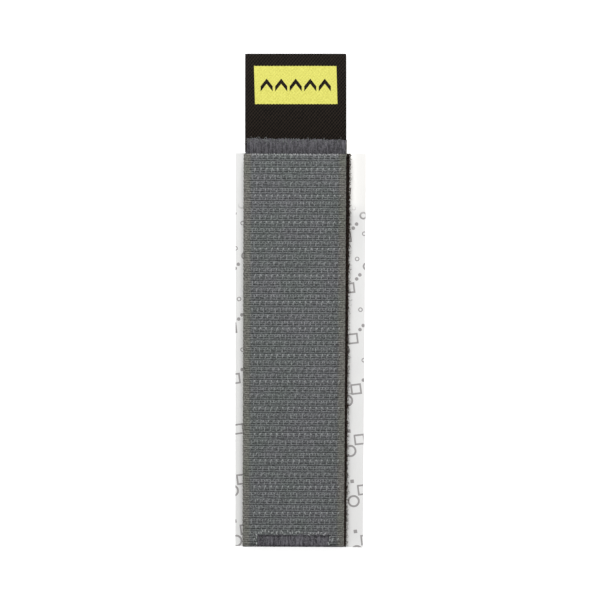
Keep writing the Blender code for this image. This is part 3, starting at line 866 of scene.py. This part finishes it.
# Painted light: the corner glows, most where the film bends up beside the tape
bend_range = {"Value": axes.outputs["X"], "From Min": 28.6 * MM, "From Max": 32.0 * MM}
glow_at_bend = add(tree, "MapRange", {**bend_range, "To Min": 0.28, "To Max": 0.02})
painted_glow = add(tree, "Math", {0: corner, 1: glow_at_bend}, operation="MULTIPLY")
set_inputs(tree, shader, {"Emission Color": (1.0, 1.0, 1.0, 1.0), "Emission Strength": painted_glow})

# %% Liner sheet
LINER_LEAN = math.radians(0.13)
LINER_TAPER = math.radians(0.24)
LINER_SLANT = 0.3  # the shear cut the right side this much longer
LINER_WIDTH = 32.3
liner_left = liner_low.x - 0.32 + math.tan(LINER_LEAN) * HALF
liner_frame = tape_frame(liner_left, LINER_LEAN)
x, y = grid(np.linspace(0.0, 1.0, 60), np.linspace(0.0, 1.0, 160))
slanted = -HALF - 0.35 - LINER_SLANT * x + (CUT_LENGTH + 0.65 + LINER_SLANT * x) * y
across = x * (LINER_WIDTH + math.tan(LINER_TAPER) * slanted)
# Both edges curl up a little, the upper right corner by about a millimetre, and the right edge ripples
curl = 0.3 * smooth_step(0.9, 1.0, x) * (0.3 + 0.7 * y) + 0.15 * smooth_step(0.08, 0.0, x) * (1.0 - y * 0.5)
curl += 0.9 * smooth_step(0.87, 1.0, x) * smooth_step(22.0, 42.0, slanted)
curl += 0.05 * np.sin(slanted / 7.0) * smooth_step(0.86, 1.0, x)
curl = np.maximum(curl, 0.0)
face, under = xyz(across, slanted, 0.15 + curl), xyz(across, slanted, curl)
liner = closed_sheet("liner_sheet", face, under, liner_frame)
finish_piece(liner, release_film, "release_liner")

# %% [markdown]
# ## Pull-tab ribbon
#
# The tab is a strip of black ribbon folded in half. It is woven in a small diamond pattern: two sets of fine
# diagonals that show as a lattice of dots. The cloth follows the side view of the imported ribbon, which hangs
# a little towards its fold. The lattice is pressed into its surface as real relief, and the shader
# repeats it as painted sheen, drawing the raised threads a little paler.

# %% Lattice of the ribbon
LATTICE = (0.78, 0.92)  # one diamond of the weave, across and along
SLANT_SHARE = 0.23  # one set of diagonals is the bolder


def lattice(x, y):
    u, v = 2.0 * math.pi * x / LATTICE[0], 2.0 * math.pi * y / LATTICE[1]
    return np.cos(u) * np.cos(v) + SLANT_SHARE * np.sin(u) * np.sin(v)


def lattice_nodes(tree, coords):
    """The same lattice in a shader, from -1 in the furrows to 1 on the raised threads."""
    axes = add(tree, "SeparateXYZ", {"Vector": coords})
    total = 0.0
    for wave, share in (("COSINE", 1.0), ("SINE", SLANT_SHARE)):
        product = share
        for axis, pitch in zip(("X", "Y"), LATTICE):
            per_turn = 2.0 * math.pi / (pitch * MM)
            turn = add(tree, "Math", {0: axes.outputs[axis], 1: per_turn}, operation="MULTIPLY")
            level = add(tree, "Math", {0: turn}, operation=wave)
            product = add(tree, "Math", {0: level, 1: product}, operation="MULTIPLY")
        total = add(tree, "Math", {0: product, 1: total}, operation="ADD")
    return total


# %% Woven polyester ribbon
ribbon_black, tree, shader = new_material("woven polyester ribbon")
coords = add(tree, "TexCoord").outputs["Object"]
# Painted sheen: the raised threads of the lattice are drawn paler
raised_painted_sheen = lattice_nodes(tree, coords)
wear = lumps(tree, coords, (0.5, 0.5, 1), 2.0)
shifted = add(tree, "Math", {0: wear, 1: 0.5}, operation="SUBTRACT")
mixed = add(tree, "Math", {0: shifted, 1: 1.6, 2: raised_painted_sheen}, operation="MULTIPLY_ADD")
tone = add(tree, "MapRange", {"Value": mixed, "From Min": -0.55, "From Max": 0.55})
threads = add(tree, "ValToRGB", {"Fac": tone})
set_stops(threads, (0.0, "#030303"), (1.0, "#2A231D"))
set_inputs(tree, shader, {"Base Color": threads, "Roughness": 0.55, "IOR": 1.57, "Specular IOR Level": 0.05})

# %% Folded ribbon
RIBBON = 0.25  # thickness
LEAF_GAP = 0.15
DROOP = 1.7
tab_length = ribbon_high.y - strip_end_y
ribbon_x = (ribbon_low.x + ribbon_high.x) / 2.0
ribbon_width = ribbon_high.x - ribbon_low.x
ribbon_frame = Matrix.Translation((ribbon_x * MM, 0.0, 0.0))
fold_radius = (RIBBON + LEAF_GAP) / 2.0
ribbon_level = ribbon_high.z - RIBBON / 2.0 - fold_radius


def droop(y):
    """How far the tab hangs below its level at the weld."""
    share = np.clip((y - strip_end_y) / tab_length, 0.0, None)
    return DROOP * share**2 * (3.0 - share) / 2.0


def ripple(x, y):
    """A shallow wave across the tab, which grows towards its fold."""
    return 0.05 * np.sin(x / 4.1 + 0.8) * smooth_step(strip_end_y, ribbon_high.y, y)


# The side view: along the upper leaf, round the fold, and back along the lower leaf
turn_y = ribbon_high.y - fold_radius - RIBBON / 2.0
run = np.arange(ribbon_low.y, turn_y, LATTICE[1] / 4.0)
fold = np.linspace(math.pi / 2.0, -math.pi / 2.0, 11)
level = np.full_like(run, fold_radius)
path_y = np.concatenate([run, turn_y + fold_radius * np.cos(fold), run[::-1]])
path_z = np.concatenate([level, fold_radius * np.sin(fold), -level])
path_z += ribbon_level - droop(path_y)
run_y, run_z = np.gradient(path_y), np.gradient(path_z)
length = np.hypot(run_y, run_z)
normal_y, normal_z = -run_z / length, run_y / length

half_ribbon = ribbon_width / 2.0
xs = np.linspace(-half_ribbon, half_ribbon, round(ribbon_width / (LATTICE[0] / 4.0)) + 1)
x, y = grid(xs, path_y)
relief = 0.035 * lattice(x, y) * smooth_step(0.0, 0.8, half_ribbon - np.abs(x))
relief *= 0.35 + 0.65 * smooth_step(panel_high.y + 1.0, panel_high.y - 4.0, y)  # flatter at the fold
relief -= 0.06 * smooth_step(0.5, 0.0, half_ribbon - np.abs(x))


def ribbon_side(distance):
    """The ribbon's surface at this distance from its middle."""
    side_y = y + normal_y[:, None] * distance
    return xyz(x, side_y, path_z[:, None] + normal_z[:, None] * distance + ripple(x, y))


upper_face, lower_face = ribbon_side(RIBBON / 2.0 + relief), ribbon_side(-RIBBON / 2.0)
ribbon = closed_sheet("ribbon_cloth", upper_face, lower_face, ribbon_frame)
finish_piece(ribbon, ribbon_black, "pull_tab_ribbon")

# %% [markdown]
# ## Yellow field
#
# The field is flat yellow ink on the weave. It is opaque, but the weave still dimples it, and the ink is
# drawn darker in the furrows and paler on the raised threads as painted shade, with a random mottle, so it
# looks slightly mottled up close. It carries plain chevrons that point the way the tab is pulled, left open so
# that the ribbon shows through them.

# %% Yellow ink
yellow_ink, tree, shader = new_material("screen-printed yellow ink")
coords = add(tree, "TexCoord").outputs["Object"]
mottle = lumps(tree, coords, (0.3, 0.3, 1), 3.0)
# Painted shade: the lattice darkens the ink in the furrows and lightens it on the raised threads; the noise is
# random mottle
both = add(tree, "Math", {0: lattice_nodes(tree, coords), 1: 0.08, 2: mottle}, operation="MULTIPLY_ADD")
inked = add(tree, "ValToRGB", {"Fac": both})
set_stops(inked, (0.3, "#CFCB57"), (0.7, "#E9E673"))
bump = add(tree, "Bump", {"Height": mottle, "Distance": 0.04 * MM})
set_inputs(tree, shader, {"Base Color": inked, "Normal": bump})
set_inputs(tree, shader, {"Roughness": 0.6, "IOR": 1.5, "Specular IOR Level": 0.3})

# %% Panel
INK = 0.05
panel_x = (panel_low.x + panel_high.x) / 2.0 - ribbon_x
half_panel = (panel_high.x - panel_low.x) / 2.0 - 0.14
panel_middle = (panel_low.y + panel_high.y) / 2.0
panel_xs = np.linspace(panel_x - half_panel, panel_x + half_panel, 107)
x, y = grid(panel_xs, np.linspace(panel_low.y, panel_high.y, 42))
x -= 0.13 * (y - panel_middle) / (panel_high.y - panel_middle)  # printed a little out of square
for edge in (0, -1):  # ink catches the raised threads first
    y[edge] += 0.05 * np.cos(2.0 * math.pi * x[edge] / LATTICE[0])
face = ribbon_level + fold_radius + RIBBON / 2.0 - droop(y) + 0.025 * lattice(x, y) + ripple(x, y)
panel = closed_sheet("yellow_field", xyz(x, y, face + INK), xyz(x, y, face - 0.06), ribbon_frame)

# %% Open chevrons
CHEVRONS = 5
CHEVRON_SPAN = 3.0
CHEVRON_GAP = 0.6
CHEVRON_RISE = 1.9
CHEVRON_STROKE = 1.3
foot = panel_middle - (CHEVRON_RISE + CHEVRON_STROKE) / 2.0
half_span = CHEVRON_SPAN / 2.0
plan = [(-half_span, 0.0), (0.0, CHEVRON_RISE), (half_span, 0.0)]
outline = plan + [(px, py + CHEVRON_STROKE) for px, py in reversed(plan)]
points, faces = [], []
for i in range(CHEVRONS):
    middle = panel_x + (i - (CHEVRONS - 1) / 2.0) * (CHEVRON_SPAN + CHEVRON_GAP)
    base = len(points)
    points += [(middle + px, foot + py, z) for z in (0.0, 5.0) for px, py in outline]
    for low, high in ((0, 5), (1, 4)):
        faces.append([base + low, base + low + 1, base + high - 1, base + high][::-1])
        faces.append([base + 6 + low, base + 6 + low + 1, base + 6 + high - 1, base + 6 + high])
    faces += [[base + k, base + (k + 1) % 6, base + 6 + (k + 1) % 6, base + 6 + k] for k in range(6)]
cutter = new_piece("chevron_cutter", np.array(points), faces, ribbon_frame, smooth=False)
cut = panel.modifiers.new("chevrons", "BOOLEAN")
cut.operation, cut.solver, cut.object = "DIFFERENCE", "EXACT", cutter
cut_mesh = bpy.data.meshes.new_from_object(panel.evaluated_get(bpy.context.evaluated_depsgraph_get()))
panel.modifiers.clear()
panel.data = cut_mesh
bpy.data.objects.remove(cutter)
finish_piece(panel, yellow_ink, "tab_panel")

# %% [markdown]
# ## Floor and light
#
# The photograph has no set at all: the tie lies on white. A floor that glows to the camera alone keeps the
# object lit at a plain level, and it still takes a soft shadow. One lamp stands past the pull tab, because
# each pick is bright on that side and dark on the other. It is narrow across the tape, because a lamp that
# reached out to either side would lay the tape's shadow on the liner, and the photograph shows hardly any.

# %% Floor
white_table, tree, shader = new_material("white table")
tree.nodes.remove(shader)
path = add(tree, "LightPath")
glow_level = add(tree, "Math", {0: path.outputs["Is Camera Ray"], 1: 0.8}, operation="MULTIPLY")
glow = add(tree, "Emission", {"Color": (1.0, 1.0, 1.0, 1.0), "Strength": glow_level})
matte = add(tree, "BsdfDiffuse", {"Color": (0.7, 0.7, 0.7, 1.0)})
both = add(tree, "AddShader", {0: glow, 1: matte})
set_inputs(tree, tree.nodes["Material Output"], {"Surface": both})
bpy.ops.mesh.primitive_plane_add(size=4.0, location=(0.0, 0.0, -0.0002))
floor = bpy.context.object
floor.name = "floor"
floor.data.materials.append(white_table)
floor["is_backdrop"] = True

# %% Light
world = bpy.data.worlds.new("soft room")
bpy.context.scene.world = world
world.use_nodes = True
tree = world.node_tree
path = add(tree, "LightPath")
strength = add(tree, "MapRange", {"Value": path.outputs["Is Camera Ray"], "To Min": 0.37, "To Max": 1.0})
set_inputs(tree, tree.nodes["Background"], {"Color": (1.0, 1.0, 1.0, 1.0), "Strength": strength})

lamp_data = bpy.data.lights.new("softbox", "AREA")
lamp_data.shape = "RECTANGLE"
lamp_data.size, lamp_data.size_y = 0.4, 0.5
lamp_data.energy = 5.2
lamp = bpy.data.objects.new("softbox", lamp_data)
lamp.location = (-0.03, 0.5, 0.6)
lamp.rotation_mode = "QUATERNION"
lamp.rotation_quaternion = lamp.location.to_track_quat("Z", "Y")
bpy.context.scene.collection.objects.link(lamp)
bpy.context.scene.view_settings.view_transform = "Standard"

# %% [markdown]
# ## Boxes and finish
#
# Both boxes, the imported model's and the dressed model's, are printed side by side. The dressed model
# has to stay in the imported model's box.

# %% Sizes and finish
new_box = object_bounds()
for label, box in (("cad", cad_box), ("visual", new_box)):
    print(label, [[round(c * 1000.0, 2) for c in corner] for corner in box])
